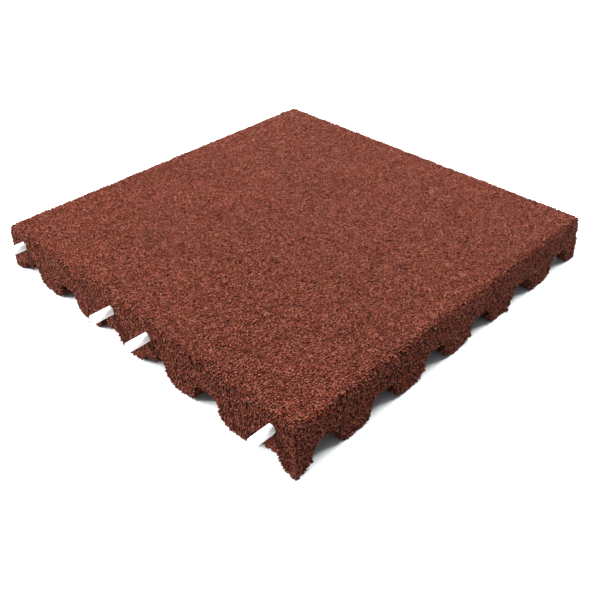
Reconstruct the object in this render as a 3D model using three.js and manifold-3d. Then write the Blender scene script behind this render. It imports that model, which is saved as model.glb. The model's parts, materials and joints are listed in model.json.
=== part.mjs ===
// Rubber safety tile with an arched underside, four connecting pins and four matching sockets.
//
// Millimetres, +Z up. The origin is on the floor, in the middle of the centre foot's sole. The pins
// stand out of the -X side, and the sockets that take the next tile's pins are in the +X side.

import * as THREE from 'three';
import { mergeVertices } from 'three/addons/utils/BufferGeometryUtils.js';
import Module from 'manifold-3d';

const wasm = await Module();
wasm.setup();

// Tile body, moulded in one piece from bonded rubber granules
const TILE_LENGTH = 500; // along X, measured at the floor
const TILE_WIDTH = 500; // along Y, measured at the floor
const TILE_HEIGHT = 60;
const SIDE_DRAFT = 2; // how far each side leans in between the floor and the top
const TOP_EDGE_RADIUS = 5.5; // rounded edge all round the walking surface

// Arches between the feet, the same in both directions
const ARCH_COUNT = 6; // along each side
const ARCH_WIDTH = 34; // clear width between two feet
const ARCH_HEIGHT = 24.5;
const CROWN_RADIUS = 8; // corner between the wall and the flat crown of an arch
const FOOT_EDGE_RADIUS = 13; // corner between the wall and the flat sole of a foot
const BORDER_FOOT_RADIUS = 16; // the same on the half feet at the border

// Round plastic pins, pressed into blind holes
const PIN_DIAMETER = 10.5;
const PIN_HEIGHT = 42; // from the floor to the middle of a pin
const PIN_REACH = 24; // how far a pin stands out of the side
const PIN_SEATED_DEPTH = 30; // how far it goes into the tile
const PIN_CHAMFER = 1.5;
const PIN_INNER_OFFSET = 32.5; // from the tile's middle to the two inner pins
const PIN_CLEARANCE = 0.3; // between a pin and its hole, all round and at the end

// Sockets for the pins of the next tile
const SOCKET_CLEARANCE = 0.5; // all round the next tile's pin
const SOCKET_SPARE_DEPTH = 3; // past the end of the next tile's pin

// Blocks of rubber that carry the pins and sockets, and fill the border arches down to a low gap
const PIN_BLOCK_WIDTH = 30;
const PIN_BLOCK_CLEARANCE = 15; // from the floor to the underside of a block

// How finely the round shapes are divided, and how far a cutting shape runs past what it cuts
const STEPS_PER_HALF_ARC = 2;
const ROUND_SIDES = 24;
const CUT_MARGIN = 5;

const rubber = new THREE.MeshStandardMaterial({ color: 0x854a40, roughness: 0.95, metalness: 0 });
const whitePlastic = new THREE.MeshStandardMaterial({ color: 0xf1f2f0, roughness: 0.45, metalness: 0 });

// The side's distance from the middle, at the height of the pins
const sideAtPins = TILE_LENGTH / 2 - leanAt(PIN_HEIGHT);

// The outer pins complete half a tile with the inner ones, so tiles also fit in a half bond.
const pinOuterOffset = TILE_WIDTH / 2 - PIN_INNER_OFFSET;
const pinOffsets = [-pinOuterOffset, -PIN_INNER_OFFSET, PIN_INNER_OFFSET, pinOuterOffset];

// How far a side has leaned in at a height above the floor
function leanAt(height) {
  return (SIDE_DRAFT * height) / TILE_HEIGHT;
}

// Closed solid from a three.js geometry
function toSolid(geometry) {
  const bare = geometry.clone();
  bare.deleteAttribute('normal');
  bare.deleteAttribute('uv');
  const merged = mergeVertices(bare, 1e-4);
  const vertProperties = new Float32Array(merged.attributes.position.array);
  const triVerts = new Uint32Array(merged.index.array);
  return new wasm.Manifold(new wasm.Mesh({ numProp: 3, vertProperties, triVerts }));
}

// three.js geometry from a closed solid
function toGeometry(solid) {
  const mesh = solid.getMesh();
  const geometry = new THREE.BufferGeometry();
  geometry.setAttribute('position', new THREE.BufferAttribute(mesh.vertProperties, 3));
  geometry.setIndex(new THREE.BufferAttribute(mesh.triVerts, 1));
  geometry.computeVertexNormals();
  return geometry;
}

// Side view of the tile: feet and arches below, leaning sides, and rounded edges on top. Feet are
// centred on the ends of the row, so the border has half feet.
function sideView(across) {
  const pitch = across / ARCH_COUNT;
  const footHalf = (pitch - ARCH_WIDTH) / 2;
  const springing = ARCH_HEIGHT - CROWN_RADIUS;
  const lean = Math.atan2(SIDE_DRAFT, TILE_HEIGHT);
  const edgeZ = TILE_HEIGHT - TOP_EDGE_RADIUS;
  const edgeX = across / 2 - leanAt(edgeZ) - TOP_EDGE_RADIUS / Math.cos(lean);

  const outline = new THREE.Shape();
  outline.moveTo(-edgeX, TILE_HEIGHT);
  outline.absarc(-edgeX, edgeZ, TOP_EDGE_RADIUS, Math.PI / 2, Math.PI - lean, false);
  outline.lineTo(-across / 2, 0);
  for (let arch = 0; arch < ARCH_COUNT; arch += 1) {
    const left = arch * pitch - across / 2 + footHalf;
    const right = left + ARCH_WIDTH;
    const leftFoot = arch === 0 ? BORDER_FOOT_RADIUS : FOOT_EDGE_RADIUS;
    const rightFoot = arch === ARCH_COUNT - 1 ? BORDER_FOOT_RADIUS : FOOT_EDGE_RADIUS;
    outline.absarc(left - leftFoot, leftFoot, leftFoot, -Math.PI / 2, 0, false);
    outline.absarc(left + CROWN_RADIUS, springing, CROWN_RADIUS, Math.PI, Math.PI / 2, true);
    outline.absarc(right - CROWN_RADIUS, springing, CROWN_RADIUS, Math.PI / 2, 0, true);
    outline.absarc(right + rightFoot, rightFoot, rightFoot, Math.PI, Math.PI * 1.5, false);
  }
  outline.lineTo(across / 2, 0);
  outline.absarc(edgeX, edgeZ, TOP_EDGE_RADIUS, lean, Math.PI / 2, false);
  outline.closePath();
  return outline;
}

// Side view drawn out along Y, standing upright, and longer than the tile
function archedBlock(across, length) {
  const depth = length + 2 * CUT_MARGIN;
  const geometry = new THREE.ExtrudeGeometry(sideView(across), {
    depth,
    curveSegments: STEPS_PER_HALF_ARC,
    bevelEnabled: false,
  });
  geometry.translate(0, 0, -depth / 2);
  geometry.rotateX(Math.PI / 2);
  return geometry;
}

// Block around the height of a pin. It runs from outside the tile to under the first cross channel,
// whose arch trims it. The side is -1 for the pins and 1 for the sockets.
function pinBlock(side, y) {
  const outer = TILE_LENGTH / 2 + CUT_MARGIN / 2;
  const inner = (TILE_LENGTH - TILE_LENGTH / ARCH_COUNT) / 2;
  const height = PIN_HEIGHT - PIN_BLOCK_CLEARANCE;
  const geometry = new THREE.BoxGeometry(outer - inner, PIN_BLOCK_WIDTH, height);
  geometry.translate((side * (outer + inner)) / 2, y, PIN_BLOCK_CLEARANCE + height / 2);
  return toSolid(geometry);
}

// Round cutter along X at the height of the pins, between two places on X
function roundCutter(diameter, fromX, toX, y) {
  const length = toX - fromX;
  const geometry = new THREE.CylinderGeometry(diameter / 2, diameter / 2, length, ROUND_SIDES);
  geometry.rotateZ(Math.PI / 2);
  geometry.translate(fromX + length / 2, y, PIN_HEIGHT);
  return toSolid(geometry);
}

function tileBody() {
  const archesAlongX = toSolid(archedBlock(TILE_LENGTH, TILE_WIDTH));
  const turned = archedBlock(TILE_WIDTH, TILE_LENGTH).rotateZ(Math.PI / 2);
  let archesAlongY = toSolid(turned);
  for (const y of pinOffsets) {
    archesAlongY = archesAlongY.add(pinBlock(-1, y)).add(pinBlock(1, y));
  }
  let body = archesAlongX.intersect(archesAlongY);

  const holeDiameter = PIN_DIAMETER + 2 * PIN_CLEARANCE;
  const holeEnd = -sideAtPins + PIN_SEATED_DEPTH + PIN_CLEARANCE;
  const socketDiameter = PIN_DIAMETER + 2 * SOCKET_CLEARANCE;
  const socketEnd = sideAtPins - PIN_REACH - SOCKET_SPARE_DEPTH;
  for (const y of pinOffsets) {
    body = body.subtract(roundCutter(holeDiameter, -sideAtPins - CUT_MARGIN, holeEnd, y));
    body = body.subtract(roundCutter(socketDiameter, socketEnd, sideAtPins + CUT_MARGIN, y));
  }
  const mesh = new THREE.Mesh(toGeometry(body), rubber);
  mesh.name = 'tile_body';
  return mesh;
}

// Pin with chamfered ends. Its own origin is where it leaves the tile, and it points along +Y.
function pinGeometry() {
  const radius = PIN_DIAMETER / 2;
  const profile = [
    new THREE.Vector2(0, -PIN_SEATED_DEPTH),
    new THREE.Vector2(radius - PIN_CHAMFER, -PIN_SEATED_DEPTH),
    new THREE.Vector2(radius, -PIN_SEATED_DEPTH + PIN_CHAMFER),
    new THREE.Vector2(radius, PIN_REACH - PIN_CHAMFER),
    new THREE.Vector2(radius - PIN_CHAMFER, PIN_REACH),
    new THREE.Vector2(0, PIN_REACH),
  ];
  return new THREE.LatheGeometry(profile, ROUND_SIDES);
}

// The four pins, numbered from -Y to +Y, turned to point along -X
function connectingPins() {
  const pins = new THREE.Group();
  pinOffsets.forEach((y, index) => {
    const pin = new THREE.Mesh(pinGeometry(), whitePlastic);
    pin.name = `connecting_pin_${index + 1}`;
    pin.position.set(-sideAtPins, y, PIN_HEIGHT);
    pin.rotation.z = Math.PI / 2;
    pins.add(pin);
  });
  return pins;
}

const tile = new THREE.Group();
tile.add(tileBody(), connectingPins());

export default tile;
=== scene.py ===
# %% [markdown]
# # A rubber safety tile
#
# A safety tile lies under swings and slides. It is pressed in a hot mould from rubber crumbs and a
# little binder, so its surface is a crust of thousands of small crumbs. The construction model already
# holds the true sizes: the slab, its feet and arches, the four pins and the holes that they fit in.
# This lesson loads that model as a frame, and gives the tile its crumbly skin, its colours and light.

import json
import math

import bpy
from mathutils import Matrix, Vector

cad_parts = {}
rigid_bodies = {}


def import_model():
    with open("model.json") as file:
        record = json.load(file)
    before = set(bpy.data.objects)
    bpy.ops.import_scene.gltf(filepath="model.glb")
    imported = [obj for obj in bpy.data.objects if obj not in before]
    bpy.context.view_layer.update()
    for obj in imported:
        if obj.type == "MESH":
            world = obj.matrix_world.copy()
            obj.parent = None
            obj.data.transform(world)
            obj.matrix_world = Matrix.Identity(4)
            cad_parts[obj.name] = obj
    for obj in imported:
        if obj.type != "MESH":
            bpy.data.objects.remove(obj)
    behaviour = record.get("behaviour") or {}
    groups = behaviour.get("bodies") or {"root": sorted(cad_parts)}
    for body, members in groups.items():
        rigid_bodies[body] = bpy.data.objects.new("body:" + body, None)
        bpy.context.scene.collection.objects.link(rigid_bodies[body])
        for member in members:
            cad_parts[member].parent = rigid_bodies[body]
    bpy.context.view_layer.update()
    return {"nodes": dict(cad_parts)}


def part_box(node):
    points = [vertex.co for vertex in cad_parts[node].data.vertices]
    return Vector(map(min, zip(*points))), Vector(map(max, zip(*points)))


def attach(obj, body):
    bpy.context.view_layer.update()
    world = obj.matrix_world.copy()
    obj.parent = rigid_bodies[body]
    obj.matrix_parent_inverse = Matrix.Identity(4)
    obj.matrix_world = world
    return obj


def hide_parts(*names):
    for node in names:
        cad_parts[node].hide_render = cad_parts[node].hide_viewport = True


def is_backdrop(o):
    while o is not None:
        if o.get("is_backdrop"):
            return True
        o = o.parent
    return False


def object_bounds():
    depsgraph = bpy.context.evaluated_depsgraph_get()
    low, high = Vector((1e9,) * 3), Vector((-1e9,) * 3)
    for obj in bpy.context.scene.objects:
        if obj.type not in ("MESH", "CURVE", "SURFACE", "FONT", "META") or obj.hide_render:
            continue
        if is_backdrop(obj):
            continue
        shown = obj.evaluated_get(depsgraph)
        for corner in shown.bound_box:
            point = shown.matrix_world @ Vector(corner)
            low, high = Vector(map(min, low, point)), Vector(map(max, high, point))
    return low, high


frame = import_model()
tile_low, tile_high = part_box("tile_body")
print("tile from", tuple(tile_low), "to", tuple(tile_high))

# %% [markdown]
# The pins tell where all holes are. Each pin sits in a hole in one side, and the hole that takes the
# next tile's pin is straight across from it, in the opposite side. Every size below is in metres.

# %% Where the pins and holes are
PIN_NAMES = ["connecting_pin_1", "connecting_pin_2", "connecting_pin_3", "connecting_pin_4"]
pin_boxes = {name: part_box(name) for name in PIN_NAMES}
pin_rows = [(low.y + high.y) / 2 for low, high in pin_boxes.values()]
first_low, first_high = pin_boxes["connecting_pin_1"]
pin_height = (first_low.z + first_high.z) / 2
pin_radius = (first_high.z - first_low.z) / 2
outer_row, inner_row = max(pin_rows), min(y for y in pin_rows if y > 0)
print("pin rows at y =", [round(y, 4) for y in pin_rows], "and z =", round(pin_height, 4))

# %% [markdown]
# ## The camera
#
# The camera stands where the photograph was taken from: above one corner, looking down at about 37
# degrees. Its place and lens were found by laying the corners of a 500 mm tile over the corners in the
# photograph. Three directions describe it: where it looks, what is right of it, and what is up for it.
# They become the columns of its matrix, and a small roll turns it about the line of sight.

# %% Camera at the photograph's angle
CAMERA_PLACE = Vector((-0.5625, -0.5703, 0.5421))
CAMERA_HEADING, CAMERA_DIP, CAMERA_ROLL = (math.radians(a) for a in (45.42, 36.66, -1.01))
CAMERA_LENS = 46.31

ahead = Vector((
    math.cos(CAMERA_DIP) * math.cos(CAMERA_HEADING),
    math.cos(CAMERA_DIP) * math.sin(CAMERA_HEADING),
    -math.sin(CAMERA_DIP),
))
level_right = Vector((math.sin(CAMERA_HEADING), -math.cos(CAMERA_HEADING), 0))
level_up = level_right.cross(ahead)
right = math.cos(CAMERA_ROLL) * level_right + math.sin(CAMERA_ROLL) * level_up
up = math.cos(CAMERA_ROLL) * level_up - math.sin(CAMERA_ROLL) * level_right

photo_camera = bpy.data.objects.new("photo_camera", bpy.data.cameras.new("photo_camera"))
photo_camera.data.sensor_width = 36
photo_camera.data.lens = CAMERA_LENS
photo_camera.matrix_world = (
    Matrix.Translation(CAMERA_PLACE) @ Matrix((right, up, -ahead)).transposed().to_4x4()
)
bpy.context.collection.objects.link(photo_camera)
bpy.context.scene.camera = photo_camera
print("camera looks along", tuple(round(a, 3) for a in ahead))

# %% [markdown]
# ## Wires between nodes
#
# Materials and scatter recipes are both graphs of nodes. Drawing them by hand is slow, so one small
# class wraps the output of a node. Sums written with it become Math nodes, and its one method adds any
# other kind of node. The same class serves the shader trees and the geometry trees.

# %% A wire, which is the output of a node
class Wire:
    """The output of a node in a tree. Arithmetic on wires adds Math nodes to that tree."""

    def __init__(self, tree, socket=None):
        self.tree = tree
        self.socket = socket

    def node(self, kind, settings=None, inputs=None, output=0):
        """Adds a node of any kind: its settings first, then the values or wires of its sockets."""
        made = self.tree.nodes.new(kind)
        for name, value in (settings or {}).items():
            if name == "stops":
                for stop, (place, colour) in enumerate(value):
                    stops = made.color_ramp.elements
                    held = stops[stop] if stop < len(stops) else stops.new(place)
                    held.position, held.color = place, colour
            else:
                setattr(made, name, value)
        for name, value in (inputs or {}).items():
            if isinstance(value, Wire):
                self.tree.links.new(value.socket, made.inputs[name])
            else:
                made.inputs[name].default_value = value
        return Wire(self.tree, made.outputs[output] if len(made.outputs) else None)

    def beside(self, output):
        """Another output of the node that this wire comes from."""
        return Wire(self.tree, self.socket.node.outputs[output])

    def sum_with(self, operation, first, second=0.0):
        return self.node("ShaderNodeMath", {"operation": operation}, {0: first, 1: second})

    def __add__(self, other): return self.sum_with("ADD", self, other)
    def __radd__(self, other): return self.sum_with("ADD", other, self)
    def __sub__(self, other): return self.sum_with("SUBTRACT", self, other)
    def __rsub__(self, other): return self.sum_with("SUBTRACT", other, self)
    def __mul__(self, other): return self.sum_with("MULTIPLY", self, other)
    def __rmul__(self, other): return self.sum_with("MULTIPLY", other, self)
    def __truediv__(self, other): return self.sum_with("DIVIDE", self, other)
    def __mod__(self, other): return self.sum_with("MODULO", self, other)
    def __gt__(self, other): return self.sum_with("GREATER_THAN", self, other)
    def __lt__(self, other): return self.sum_with("LESS_THAN", self, other)
    def __abs__(self): return self.sum_with("ABSOLUTE", self)
    def at_least(self, other): return self.sum_with("MAXIMUM", self, other)
    def at_most(self, other): return self.sum_with("MINIMUM", self, other)
    def floor(self): return self.sum_with("FLOOR", self)


# %% [markdown]
# ## The rubber
#
# The crumbs are cut from coloured rubber, and no two are quite alike: most are brick red, a few are
# nearly maroon, and a few are paler where the knife tore them. Each crumb will carry a number of its
# own from 0 to 1, its tone, and a colour ramp turns that number into a colour. The same ramp serves
# the skin between the crumbs, where a cell pattern gives the tones.

# %% Colours of the crumbs
CRUMB_SIZE = 0.0035
CRUMB_TONES = [
    (0.00, (0.060, 0.009, 0.0035, 1)),
    (0.15, (0.088, 0.017, 0.0072, 1)),
    (0.50, (0.111, 0.0256, 0.0138, 1)),
    (0.90, (0.133, 0.037, 0.0225, 1)),
    (1.00, (0.150, 0.048, 0.033, 1)),
]


def crumb_colour(tone):
    """Colour wire for a tone wire."""
    return tone.node("ShaderNodeValToRGB", {"stops": CRUMB_TONES}, {"Fac": tone})


def new_finish(name):
    """An empty material, with the wire to start from and its surface shader."""
    finish = bpy.data.materials.new(name)
    finish.use_nodes = True
    shader = finish.node_tree.nodes["Principled BSDF"]
    return finish, Wire(finish.node_tree), shader


def colours_mixed(share, first, second, way="MIX"):
    """Colour wire between two colours, by a share from 0 to 1."""
    start = share if isinstance(share, Wire) else first
    settings = {"data_type": "RGBA", "blend_type": way}
    return start.node("ShaderNodeMix", settings, {0: share, 6: first, 7: second}, output=2)


# %% [markdown]
# A fresh crumb is not one flat colour either. A slow noise lightens and darkens the tile by a few
# percent from hand to hand, as the mix in the mould does, and a fine noise makes each cut face rough.
# A third noise shifts the red a little towards brown or towards plum. Crumb rubber hardly shines, so
# the specular level is low: a pale glint on every facet would turn the tile grey.

# %% Finish of the loose crumbs on the surface
crumb_finish, start, shader = new_finish("rubber_crumbs")
place = start.node("ShaderNodeTexCoord", output="Object")
tone = start.node("ShaderNodeAttribute", {"attribute_name": "crumb_tone"}, output="Fac")
patches = start.node("ShaderNodeTexNoise", None, {"Vector": place, "Scale": 14.0, "Detail": 2.0})
grit = start.node("ShaderNodeTexNoise", None, {"Vector": place, "Scale": 1100.0, "Detail": 3.0})
shade = (0.86 + 0.28 * patches) * (0.88 + 0.24 * grit)
colour = crumb_colour(tone)
bloom = start.node("ShaderNodeTexNoise", None, {"Vector": place, "Scale": 75.0, "Detail": 1.0})
shade_colour = start.node("ShaderNodeCombineColor", None, {
    0: shade, 1: shade * (1.08 - 0.16 * bloom), 2: shade * (0.85 + 0.30 * bloom)})
colour = colours_mixed(1.0, colour, shade_colour, "MULTIPLY")
roughness = 0.42 + 0.3 * grit
relief = start.node(
    "ShaderNodeBump", None, {"Strength": 0.6, "Distance": 0.0004, "Height": grit})
for socket, wire in {"Base Color": colour, "Roughness": roughness, "Normal": relief}.items():
    start.tree.links.new(wire.socket, shader.inputs[socket])
shader.inputs["Specular IOR Level"].default_value = 0.06
print("finish", crumb_finish.name, "with", len(start.tree.nodes), "nodes")

# %% [markdown]
# The skin under the crumbs shows in the pits between them, and all over the underside, where it does
# the crumbs' work alone. Two cell patterns raise it into rounded crumbs of two sizes, and the thin
# gaps between the cells go dark, partly for the dark binder there and partly as painted shade. Below
# the loose crumbs of the top and the sides the whole skin gets painted shade as well, as a pit is dark.

# %% Finish of the moulded skin
BED_BOTTOM, BED_RIM = 0.050, 0.237

skin_finish, start, shader = new_finish("bonded_rubber_skin")
place = start.node("ShaderNodeTexCoord", output="Object")
wobble = start.node("ShaderNodeTexNoise", None, {"Vector": place, "Scale": 260.0, "Detail": 2.0},
                    output="Color")
bend = start.node("ShaderNodeVectorMath", {"operation": "MULTIPLY_ADD"},
                  {0: wobble, 1: (0.0022, 0.0022, 0.0022), 2: place})
coarse = start.node("ShaderNodeTexVoronoi", None, {"Vector": bend, "Scale": 1 / CRUMB_SIZE})
fine = start.node("ShaderNodeTexVoronoi", None, {"Vector": bend, "Scale": 2.1 / CRUMB_SIZE})
tone = start.node("ShaderNodeSeparateColor", None, {"Color": coarse.beside("Color")})
patches = start.node("ShaderNodeTexNoise", None, {"Vector": place, "Scale": 14.0, "Detail": 2.0})
# Dark binder and painted shade: the thin gaps between the cells are darkened.
gap = ((coarse - 0.42) * 3.2).at_least(0.0).at_most(1.0)
spot = start.node("ShaderNodeSeparateXYZ", None, {0: place})
from_middle = abs(spot).at_least(abs(spot.beside(1)))
# Painted shade: the skin below the crumbs of the top and the sides is darkened, as in a pit.
under_top, under_sides = spot.beside(2) > BED_BOTTOM, from_middle > BED_RIM
painted_pit_shade = (0.4 * under_top + 0.6 * under_sides).at_most(0.6)
shade = (0.80 + 0.28 * patches) * (1 - 0.75 * gap) * (1 - painted_pit_shade)
shade_colour = start.node("ShaderNodeCombineColor", None, {0: shade, 1: shade, 2: shade})
colour = colours_mixed(1.0, crumb_colour(tone), shade_colour, "MULTIPLY")
height = 1 - coarse - 0.35 * fine
relief = start.node(
    "ShaderNodeBump", None, {"Strength": 1.0, "Distance": 0.0016, "Height": height})
roughness = 0.55 + 0.3 * gap
for socket, wire in {"Base Color": colour, "Roughness": roughness, "Normal": relief}.items():
    start.tree.links.new(wire.socket, shader.inputs[socket])
shader.inputs["Specular IOR Level"].default_value = 0.05
print("finish", skin_finish.name, "with", len(start.tree.nodes), "nodes")

# %% [markdown]
# ## The moulded skin
#
# The skin is one closed shell with the tile's own shape, as the real tile is one moulding. It is made
# with operators. An operator in Blender works on whatever is selected, so some helpers come first. One
# puts everything down and picks up one piece. One selects faces by their place and normal, and one
# selects points by their place and scales them. The last adds a modifier and applies it.

# %% Helpers to pick up a piece, its faces and its points
def pick_up(piece):
    """Only this piece is selected and active, in object mode."""
    if bpy.context.object and bpy.context.object.mode != "OBJECT":
        bpy.ops.object.mode_set(mode="OBJECT")
    bpy.ops.object.select_all(action="DESELECT")
    piece.select_set(True)
    bpy.context.view_layer.objects.active = piece


def edit_faces(piece, wanted):
    """Goes into edit mode with the faces selected for which wanted(centre, normal) is true."""
    pick_up(piece)
    bpy.ops.object.mode_set(mode="EDIT")
    bpy.ops.mesh.select_mode(type="FACE")
    bpy.ops.mesh.select_all(action="DESELECT")
    bpy.ops.object.mode_set(mode="OBJECT")
    for face in piece.data.polygons:
        face.select = bool(wanted(face.center, face.normal))
    bpy.ops.object.mode_set(mode="EDIT")


def resize_points(piece, wanted, factors):
    """Scales the points for which wanted(place) is true, from the middle of the floor."""
    pick_up(piece)
    bpy.ops.object.mode_set(mode="EDIT")
    bpy.ops.mesh.select_mode(type="VERT")
    bpy.ops.mesh.select_all(action="DESELECT")
    bpy.ops.object.mode_set(mode="OBJECT")
    for point in piece.data.vertices:
        point.select = wanted(point.co)
    bpy.ops.object.mode_set(mode="EDIT")
    bpy.ops.transform.resize(value=factors, center_override=(0, 0, 0))
    bpy.ops.object.mode_set(mode="OBJECT")


def finish_with(piece, kind, **settings):
    """Adds one modifier to the piece, sets it, and applies it."""
    pick_up(piece)
    modifier = piece.modifiers.new(kind.lower(), kind)
    for name, value in settings.items():
        setattr(modifier, name, value)
    bpy.ops.object.modifier_apply(modifier=modifier.name)


# %% [markdown]
# The construction model has long thin faces, which can't be made lumpy, so a copy of it is rebuilt from
# small even squares. That would tear the round holes, so they are closed first and cut again
# afterwards. The walls of a hole are the faces close to the line on which a pin lies.

# %% Copy the slab and close its holes
PIN_CLEARANCE, SOCKET_CLEARANCE = 0.0003, 0.0005
HOLE_RADIUS = pin_radius + PIN_CLEARANCE
SOCKET_RADIUS = pin_radius + SOCKET_CLEARANCE
HOLES_FROM, SIDES_FROM = 0.2, 0.24


def off_axis(point):
    """How far a point is from the nearest line on which a pin and its socket lie."""
    return min(math.hypot(point.y - row, point.z - pin_height) for row in pin_rows)


skin = bpy.data.objects.new("moulded_skin", frame["nodes"]["tile_body"].data.copy())
bpy.context.collection.objects.link(skin)
pick_up(skin)
bpy.ops.mesh.customdata_custom_splitnormals_clear()
bpy.ops.object.mode_set(mode="EDIT")
bpy.ops.mesh.select_all(action="SELECT")
bpy.ops.mesh.remove_doubles(threshold=1e-6)


def inside_hole(centre, normal):
    """Walls and ends of the holes, but not the sides of the tile around them."""
    near = off_axis(centre) < SOCKET_RADIUS + 0.0003 and abs(centre.x) > HOLES_FROM
    return near and (abs(normal.x) < 0.5 or abs(centre.x) < SIDES_FROM)


edit_faces(skin, inside_hole)
bpy.ops.mesh.delete(type="FACE")
bpy.ops.mesh.select_all(action="SELECT")
bpy.ops.mesh.fill_holes(sides=0)
bpy.ops.object.mode_set(mode="OBJECT")
print("slab with closed holes:", len(skin.data.polygons), "faces")

# %% [markdown]
# Now the shell is rebuilt from squares, sunk by about half a crumb so that the crumbs will stand at
# the tile's true surface, and made lumpy with a cloud pattern. Squares blunt the four upright corners,
# so those are pulled out by about a millimetre. The tile lies on its soles. They are pressed flat again
# with the move that is S, Z, 0 on the keyboard.

# %% Rebuild the slab from small squares and make it lumpy
SQUARE = 0.003
SUNK = 0.0010
LUMP_SIZE, LUMP_HEIGHT = 0.009, 0.0016
CORNER_REACH, CORNER_TOP, CORNER_PULL = 0.0055, 0.05, 1.005
SOLE_LEVEL = 0.0020

finish_with(skin, "REMESH", mode="VOXEL", voxel_size=SQUARE, use_smooth_shade=True)
finish_with(skin, "DISPLACE", strength=-SUNK, mid_level=0.0)

lumps = bpy.data.textures.new("lumps", "CLOUDS")
lumps.noise_scale = LUMP_SIZE
lumps.noise_depth = 1
finish_with(skin, "DISPLACE", texture=lumps, texture_coords="LOCAL", strength=LUMP_HEIGHT,
            mid_level=0.5)


def in_corner(place):
    """Points of the four upright corners, below the rounded edge of the top."""
    return min(abs(place.x), abs(place.y)) > tile_high.x - CORNER_REACH and place.z < CORNER_TOP


resize_points(skin, in_corner, (CORNER_PULL, CORNER_PULL, 1))
resize_points(skin, lambda place: place.z < SOLE_LEVEL, (1, 1, 0))
print("lumpy skin:", len(skin.data.polygons), "faces")

# %% [markdown]
# ## The crumbs
#
# A crumb is a shard that a knife mill has torn off, so it is a cube or a ball with few faces, whose
# corners are pushed about at random. Six crumbs of different build are enough, because each copy is
# turned and sized in its own way. At this size nobody can count faces, and tens of thousands of copies
# add up, so most crumbs have twelve faces and none has more than twenty.

# %% Six crumbs to copy
CRUMB_BUILDS = {
    "cube": [(1.00, 0.90, 0.85), (1.15, 0.85, 0.80), (0.95, 1.00, 0.95), (1.30, 0.80, 0.75),
             (0.90, 0.95, 1.15)],
    "ball": [(1.00, 0.90, 0.85)],
}
CRUMB_RAGGEDNESS = 0.34

crumb_box = bpy.data.collections.new("crumbs_to_copy")
builds = [(kind, build) for kind in CRUMB_BUILDS for build in CRUMB_BUILDS[kind]]
for number, (kind, build) in enumerate(builds):
    bpy.ops.object.select_all(action="DESELECT")
    if kind == "cube":
        bpy.ops.mesh.primitive_cube_add(size=1.5)
    else:
        bpy.ops.mesh.primitive_ico_sphere_add(subdivisions=1, radius=1)
    crumb = bpy.context.object
    crumb.name = f"crumb_{number}"
    bpy.ops.object.mode_set(mode="EDIT")
    bpy.ops.transform.vertex_random(offset=CRUMB_RAGGEDNESS, seed=number + 3)
    bpy.ops.transform.resize(value=build, center_override=(0, 0, 0))
    bpy.ops.mesh.quads_convert_to_tris()
    bpy.ops.mesh.normals_make_consistent(inside=False)
    bpy.ops.object.mode_set(mode="OBJECT")
    crumb_box.objects.link(crumb)
    bpy.context.collection.objects.unlink(crumb)

# %% [markdown]
# Scattering them is work for Geometry Nodes. One recipe makes all crumbs, in four steps. It starts with
# points that are dealt over a bed so that none are too close, which is how crumbs pack. Points in the
# way of a pin or a hole are taken out, and so is a small share of the others, because a tile sheds
# crumbs and a pit stays where one was. A zone picks the points that belong to one piece, so pieces of
# one bed share their points and meet without a seam.

# %% Step one deals the points
CRUMB_SPACING = 0.0019
MOST_PER_SQUARE_METRE = 600000.0
MISSING_ON_TOP, MISSING_ON_SIDES = 0.015, 0.18
KEEP_CLEAR = pin_radius + 0.0014


def random_number(start, low, high, seed):
    """Wire for a number between low and high, a new one for each point or crumb."""
    return start.node("FunctionNodeRandomValue", {"data_type": "FLOAT"},
                      {2: low, 3: high, 8: seed}, output=1)


def crumb_places(start, bed, zone):
    """Wires for the points of one zone on the bed, and for the way out of the bed at each."""
    points = start.node("GeometryNodeDistributePointsOnFaces", {"distribute_method": "POISSON"}, {
        "Mesh": bed, "Distance Min": CRUMB_SPACING, "Density Max": MOST_PER_SQUARE_METRE, "Seed": 7})
    outwards = points.beside("Normal")

    place = start.node("ShaderNodeSeparateXYZ", None, {0: start.node("GeometryNodeInputPosition")})
    x, y, z = place, place.beside(1), place.beside(2)
    row = abs(abs(y) - outer_row).at_most(abs(abs(y) - inner_row))
    beside_axis = z - pin_height
    off = row * row + beside_axis * beside_axis
    blocked = (off < KEEP_CLEAR ** 2) * (abs(x) > HOLES_FROM)
    on_top = start.node("ShaderNodeSeparateXYZ", None, {0: outwards}).beside(2) > 0.7
    missing = MISSING_ON_SIDES + on_top * (MISSING_ON_TOP - MISSING_ON_SIDES)
    stays = random_number(start, 0.0, 1.0, 8) > missing
    points = start.node("GeometryNodeDeleteGeometry", {"domain": "POINT"}, {
        "Geometry": points, "Selection": 1 - (1 - blocked) * stays * zone(x, y, z)})
    return points, outwards


# %% [markdown]
# A crumb is set on each point along the surface. Some sit deeper than others, each leans and turns in
# its own way, and a few stand out.

# %% Step two sets a crumb on each point
CRUMB_RADIUS = (0.0009, 0.0015)
CRUMB_LIFT = (0.0, 0.0008)
CRUMB_LEAN = 0.8
STRAY_SHARE, STRAY_LIFT = 0.015, 0.0009


def joined(start, x, y, z):
    """Wire for the vector with these three parts."""
    return start.node("ShaderNodeCombineXYZ", None, {0: x, 1: y, 2: z})


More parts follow.
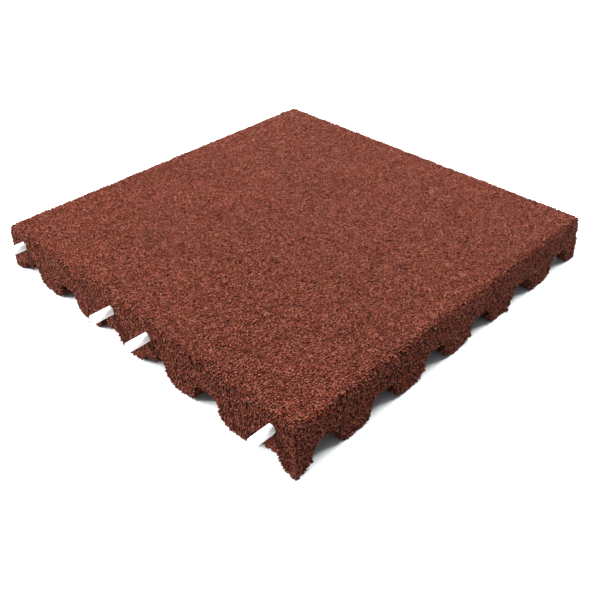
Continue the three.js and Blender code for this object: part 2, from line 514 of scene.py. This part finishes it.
def crumbs_on(start, points, outwards):
    """Wire for copies of the crumbs on the points."""
    stray = random_number(start, 0.0, 1.0, 1) > 1 - STRAY_SHARE
    lift = random_number(start, *CRUMB_LIFT, 2) + stray * STRAY_LIFT
    lifted = start.node("ShaderNodeVectorMath", {"operation": "SCALE"}, {0: outwards, "Scale": lift})
    points = start.node("GeometryNodeSetPosition", None, {"Geometry": points, "Offset": lifted})

    stand = start.node("FunctionNodeAlignRotationToVector", {"axis": "Z"}, {"Vector": outwards})
    lean = joined(start, random_number(start, -CRUMB_LEAN, CRUMB_LEAN, 3),
                  random_number(start, -CRUMB_LEAN, CRUMB_LEAN, 4),
                  random_number(start, 0.0, math.tau, 5))
    turned = start.node("FunctionNodeRotateRotation", {"rotation_space": "LOCAL"},
                        {0: stand, 1: lean})
    radius = random_number(start, *CRUMB_RADIUS, 6)
    crumbs = start.node("GeometryNodeCollectionInfo", None, {
        "Collection": crumb_box, "Separate Children": True, "Reset Children": True})
    return start.node("GeometryNodeInstanceOnPoints", None, {
        "Points": points, "Instance": crumbs, "Pick Instance": True, "Rotation": turned,
        "Scale": joined(start, radius, radius, radius)})


# %% [markdown]
# The copies get a tone and a number each, and become one mesh. The number gives every crumb its own
# small square of the UV map, so that colours can be baked onto the crumbs without two of them sharing.

# %% Step three numbers the crumbs and maps them
SQUARES_ACROSS_MAP = 118
SQUARE_MARGIN = 0.05


def numbered(start, crumbs):
    """Wire for the crumbs as one mesh, with the attributes crumb_tone and crumb_number."""
    crumbs = start.node(
        "GeometryNodeStoreNamedAttribute", {"data_type": "FLOAT", "domain": "INSTANCE"},
        {"Geometry": crumbs, "Name": "crumb_tone", "Value": random_number(start, 0.0, 1.0, 9)})
    crumbs = start.node(
        "GeometryNodeStoreNamedAttribute", {"data_type": "FLOAT", "domain": "INSTANCE"},
        {"Geometry": crumbs, "Name": "crumb_number", "Value": start.node("GeometryNodeInputIndex")})
    return start.node("GeometryNodeRealizeInstances", None, {"Geometry": crumbs})


def mapped(start, crumbs):
    """Wire for the crumbs with a UV map in which each has a square of its own."""
    own = start.node("GeometryNodeInputNamedAttribute", {"data_type": "FLOAT_VECTOR"},
                     {"Name": "UVMap"})
    number = start.node("GeometryNodeInputNamedAttribute", {"data_type": "FLOAT"},
                        {"Name": "crumb_number"})
    own = start.node("ShaderNodeSeparateXYZ", None, {0: own})
    filled = 1 - 2 * SQUARE_MARGIN
    column, row = number % SQUARES_ACROSS_MAP, (number / SQUARES_ACROSS_MAP).floor()
    across = (own * filled + SQUARE_MARGIN + column) / SQUARES_ACROSS_MAP
    upwards = (own.beside(1) * filled + SQUARE_MARGIN + row) / SQUARES_ACROSS_MAP
    return start.node(
        "GeometryNodeStoreNamedAttribute", {"data_type": "FLOAT2", "domain": "CORNER"},
        {"Geometry": crumbs, "Name": "OFBake", "Value": joined(start, across, upwards, 0.0)})


# %% [markdown]
# Last, the mould's flat walls press the crumbs flat, so none goes below the floor, above the top or out
# of the leaning sides.

# %% Step four presses the crumbs, and the whole recipe
MOULD_SLACK, MOULD_DRAFT = 0.0003, 2 / 60


def pressed(start, crumbs):
    """Wire for the crumbs, held inside the mould."""
    place = start.node("ShaderNodeSeparateXYZ", None, {0: start.node("GeometryNodeInputPosition")})
    wall = tile_high.x + 2 * MOULD_SLACK - MOULD_DRAFT * place.beside(2)
    held = [flat.at_most(wall).at_least(0 - wall) for flat in (place, place.beside(1))]
    held.append(place.beside(2).at_least(0.0).at_most(tile_high.z + MOULD_SLACK))
    return start.node("GeometryNodeSetPosition", None, {
        "Geometry": crumbs, "Position": joined(start, *held)})


def scatter_recipe(name, zone):
    """Geometry tree that turns a bed into the crumbs of one zone."""
    tree = bpy.data.node_groups.new(name, "GeometryNodeTree")
    tree.interface.new_socket("Geometry", in_out="INPUT", socket_type="NodeSocketGeometry")
    tree.interface.new_socket("Geometry", in_out="OUTPUT", socket_type="NodeSocketGeometry")
    start = Wire(tree)
    points, outwards = crumb_places(start, start.node("NodeGroupInput"), zone)
    crumbs = numbered(start, crumbs_on(start, points, outwards))
    crumbs = pressed(start, mapped(start, crumbs))
    crumbs = start.node("GeometryNodeSetMaterial", None, {
        "Geometry": crumbs, "Material": crumb_finish})
    start.node("NodeGroupOutput", None, {0: crumbs})
    return tree


# %% [markdown]
# The bed is the part of the skin that the eye reaches: the top, the sides, and the first stretch of
# each arch. Deeper under the tile the skin's own relief is enough.

# %% Cut the crumb bed from the skin
ARCH_REACH = 0.013
SOLE_TOP = 0.01


def in_reach(centre, normal):
    """Faces of the top, and near the rim all others but the soles of the feet."""
    at_rim = max(abs(centre.x), abs(centre.y)) > tile_high.x - ARCH_REACH
    on_sole = normal.z <= -0.9 and centre.z <= SOLE_TOP
    return normal.z > 0.5 or (at_rim and not on_sole)


edit_faces(skin, in_reach)
bpy.ops.mesh.duplicate()
bpy.ops.mesh.separate(type="SELECTED")
bpy.ops.object.mode_set(mode="OBJECT")
crumb_bed = next(o for o in bpy.context.selected_objects if o is not skin)
crumb_bed.name = "crumb_bed"
print("bed of", len(crumb_bed.data.polygons), "faces")

# %% [markdown]
# The walking surface has three pieces and the sides have two, so that none grows too heavy.

# %% Scatter the crumbs, piece by piece
SHOULDER = 0.052
THIRD = tile_high.x / 3
crumb_zones = {
    "walking_crumbs_1": lambda x, y, z: (z > SHOULDER) * (x < -THIRD),
    "walking_crumbs_2": lambda x, y, z: (z > SHOULDER) * (abs(x) < THIRD),
    "walking_crumbs_3": lambda x, y, z: (z > SHOULDER) * (x > THIRD),
    "side_crumbs_1": lambda x, y, z: (1 - (z > SHOULDER)) * (x + y < 0),
    "side_crumbs_2": lambda x, y, z: (1 - (z > SHOULDER)) * (1 - (x + y < 0)),
}
crumb_pieces = []
for name, zone in crumb_zones.items():
    piece = bpy.data.objects.new(name, crumb_bed.data.copy())
    bpy.context.collection.objects.link(piece)
    finish_with(piece, "NODES", node_group=scatter_recipe(name, zone))
    piece.data.name = name
    crumb_pieces.append(piece)
    numbers = {entry.value for entry in piece.data.attributes["crumb_number"].data}
    print(name, "has", len(numbers), "crumbs with", len(piece.data.polygons), "faces")
bpy.data.objects.remove(crumb_bed)

# %% [markdown]
# A fresh tile is never quite clean: here and there a crumb hangs on by a corner where the mould left a
# seam. Four of them show against the pale floor, so they are set one by one, each a copy of one crumb.
# The list has their places and radii.

# %% Four crumbs that hang loose at the feet
LOOSE_CRUMBS = [
    (-0.2285, -0.2496, 0.0080, 0.0016),
    (0.0215, -0.2497, 0.0076, 0.0018),
    (0.0955, -0.2504, 0.0024, 0.0018),
    (-0.2504, 0.0800, 0.0024, 0.0018),
]
bpy.ops.object.select_all(action="DESELECT")
for number, (x, y, z, radius) in enumerate(LOOSE_CRUMBS):
    crumb = bpy.data.objects.new("loose_crumbs", crumb_box.objects[number].data.copy())
    bpy.context.collection.objects.link(crumb)
    crumb.location, crumb.scale = (x, y, z), (radius, radius, radius)
    crumb.rotation_euler = (number, 2 * number, 0)
    crumb.select_set(True)
    bpy.context.view_layer.objects.active = crumb
bpy.ops.object.join()
bpy.ops.object.transform_apply(location=True, rotation=True, scale=True)
crumb.name = "loose_crumbs"
crumb.data.name = crumb.name
crumb.data.materials.append(crumb_finish)
crumb_pieces.append(crumb)
print(crumb.name, "with", len(crumb.data.polygons), "faces")
for crumb in list(crumb_box.objects):
    bpy.data.objects.remove(crumb)

# %% [markdown]
# ## The round holes
#
# With the crumbs in place the holes are cut into the skin: snug ones for the pins, and slightly wider
# and open ones for the pins of the next tile. The cutters are plain round rods, joined into one, and
# taken away from the skin with a Boolean.

# %% Cut the holes for the pins and the sockets
SOCKET_DEPTH, PIN_SEATED_DEPTH = 0.027, 0.030
CUT_MARGIN = 0.01
ROD_SIDES = 64
side_at_pins = first_high.x - PIN_SEATED_DEPTH


def rod(name, radius, from_x, to_x, row):
    """A plain round rod along X."""
    bpy.ops.object.select_all(action="DESELECT")
    bpy.ops.mesh.primitive_cylinder_add(
        vertices=ROD_SIDES, radius=radius, depth=to_x - from_x,
        location=((from_x + to_x) / 2, row, pin_height), rotation=(0, math.pi / 2, 0))
    made = bpy.context.object
    made.name = name
    bpy.ops.object.transform_apply(location=True, rotation=True, scale=True)
    return made


hole_span = (tile_low.x - CUT_MARGIN, first_high.x + PIN_CLEARANCE)
socket_span = (-side_at_pins - SOCKET_DEPTH, tile_high.x + CUT_MARGIN)
cutters = []
for row in pin_rows:
    cutters.append(rod("pin_hole", HOLE_RADIUS, *hole_span, row))
    cutters.append(rod("socket", SOCKET_RADIUS, *socket_span, row))
bpy.ops.object.select_all(action="DESELECT")
for cutter in cutters:
    cutter.select_set(True)
bpy.context.view_layer.objects.active = cutters[0]
bpy.ops.object.join()
finish_with(skin, "BOOLEAN", operation="DIFFERENCE", solver="EXACT", object=cutters[0])
bpy.data.objects.remove(cutters[0])
pick_up(skin)
bpy.ops.object.shade_smooth_by_angle(angle=math.radians(50))
skin.data.materials.clear()
skin.data.materials.append(skin_finish)
skin.data.name = skin.name
print("skin with holes:", sum(len(f.vertices) - 2 for f in skin.data.polygons), "triangles")

# %% [markdown]
# ## The pins
#
# Each pin is a white plastic rod. Its finish is nearly even: a faint cloud, scuffs drawn out along the
# rod, and a trace of red dust where it leaves the rubber.

# %% Finish of the pins
DUST_REACH, DUST_RISE = 0.0035, 280

pin_finish, start, shader = new_finish("white_pin_plastic")
place = start.node("ShaderNodeTexCoord", output="Object")
cloud = start.node("ShaderNodeTexNoise", None, {"Vector": place, "Scale": 60.0, "Detail": 3.0})
stretched = start.node("ShaderNodeMapping", None, {"Vector": place, "Scale": (0.15, 1.0, 1.0)})
scuffs = start.node("ShaderNodeTexNoise", None, {"Vector": stretched, "Scale": 900.0, "Detail": 3.0})
along = start.node("ShaderNodeSeparateXYZ", None, {0: place})
near_rubber = ((along - (side_at_pins - DUST_REACH)) * DUST_RISE).at_least(0.0).at_most(1.0)
dust = near_rubber * ((scuffs - 0.5) * 6).at_least(0.0).at_most(1.0) * 0.35
clean = colours_mixed(cloud, (0.88, 0.89, 0.88, 1), (0.94, 0.94, 0.93, 1))
colour = colours_mixed(dust, clean, (0.30, 0.12, 0.09, 1))
roughness = 0.32 + 0.22 * scuffs
relief = start.node("ShaderNodeBump", None, {"Strength": 0.15, "Distance": 0.0002, "Height": scuffs})
for socket, wire in {"Base Color": colour, "Roughness": roughness, "Normal": relief}.items():
    start.tree.links.new(wire.socket, shader.inputs[socket])
print("finish", pin_finish.name, "with", len(start.tree.nodes), "nodes")

# %% [markdown]
# The rod is cut to length and chamfered so that it finds its hole. Its ends are bevelled in edit mode,
# in three segments so that the edge catches the light softly. One pin is made, and the other three are
# copies of it, each with a mesh of its own.

# %% Model one pin and copy it to its four holes
PIN_CHAMFER = 0.0015
pins = []
for name, (low, high) in pin_boxes.items():
    if not pins:
        pin = rod(name + "_rod", pin_radius, low.x, high.x, pin_rows[0])
        edit_faces(pin, lambda centre, normal: abs(normal.x) > 0.9)
        bpy.ops.mesh.bevel(offset=PIN_CHAMFER, segments=3, affect="EDGES")
        bpy.ops.object.mode_set(mode="OBJECT")
        pick_up(pin)
        bpy.ops.object.shade_smooth_by_angle(angle=math.radians(40))
        pin.data.materials.append(pin_finish)
    else:
        pin = bpy.data.objects.new(name + "_rod", pins[0].data.copy())
        bpy.context.collection.objects.link(pin)
        pick_up(pin)
        bpy.ops.transform.translate(value=(0, low.y - pin_boxes["connecting_pin_1"][0].y, 0))
        bpy.ops.object.transform_apply(location=True)
    pin.data.name = pin.name
    pins.append(pin)
print(len(pins), "pins of", len(pins[0].data.polygons), "faces")

# %% [markdown]
# ## Floor and light
#
# The tile was photographed on a white sweep, so the floor is plain and pale, and bright enough under
# these lights to burn out to white.

# %% A plain pale floor
FLOOR_SIZE = 14

floor_finish, start, shader = new_finish("pale_floor")
place = start.node("ShaderNodeTexCoord", output="Object")
mottle = start.node("ShaderNodeTexNoise", None, {"Vector": place, "Scale": 3.0, "Detail": 2.0})
colour = colours_mixed(mottle, (0.63, 0.65, 0.655, 1), (0.66, 0.68, 0.685, 1))
start.tree.links.new(colour.socket, shader.inputs["Base Color"])
shader.inputs["Roughness"].default_value = 0.7
shader.inputs["Specular IOR Level"].default_value = 0.2
bpy.ops.object.select_all(action="DESELECT")
bpy.ops.mesh.primitive_plane_add(size=FLOOR_SIZE)
floor = bpy.context.object
floor.name = "pale_floor"
floor.data.materials.append(floor_finish)
floor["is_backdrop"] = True
print("floor of", FLOOR_SIZE, "by", FLOOR_SIZE, "metres")

# %% [markdown]
# Soft boxes stand to the left, to the right and behind, and a large one hangs overhead. None stands
# beside the camera, because light from the sides gives each crumb a lit face and a shaded one, and that
# is what reads as grain. The surround is weak, so the arches stay dark.

# %% Four soft boxes and a white surround
def soft_light(name, place, size, power):
    """Adds a square white area light that looks at the tile's middle."""
    light = bpy.data.objects.new(name, bpy.data.lights.new(name, "AREA"))
    light.data.shape = "SQUARE"
    light.data.size = size
    light.data.energy = power
    light.location = place
    light.rotation_euler = (-Vector(place)).to_track_quat("-Z", "Y").to_euler()
    bpy.context.collection.objects.link(light)
    print(name, "at", place, "with", power, "watts")


soft_light("softbox_left", (-1.3, 1.15, 1.2), 1.0, 110)
soft_light("softbox_right", (1.25, -0.45, 1.85), 1.0, 113)
soft_light("softbox_behind", (1.2, 1.2, 1.2), 1.0, 34)
soft_light("softbox_overhead", (-0.6, 0.0, 4.0), 3.6, 45)
world = bpy.data.worlds.new("white_surround")
world.use_nodes = True
world.node_tree.nodes["Background"].inputs["Color"].default_value = (0.88, 0.94, 1.0, 1)
world.node_tree.nodes["Background"].inputs["Strength"].default_value = 0.36
bpy.context.scene.world = world
bpy.context.scene.view_settings.view_transform = "Standard"
bpy.context.scene.view_settings.look = "None"

# %% [markdown]
# ## The pieces on their body
#
# Every piece is tied to the body that it rides on, and the solids of the construction model that the
# pieces stand for are hidden. Then the box around the dressed tile is worked out.

# %% Tie the pieces to the construction model
for piece in [skin, *crumb_pieces]:
    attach(piece, "root")
    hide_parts("tile_body")
for pin, name in zip(pins, PIN_NAMES):
    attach(pin, "root")
    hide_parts(name)

low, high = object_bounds()
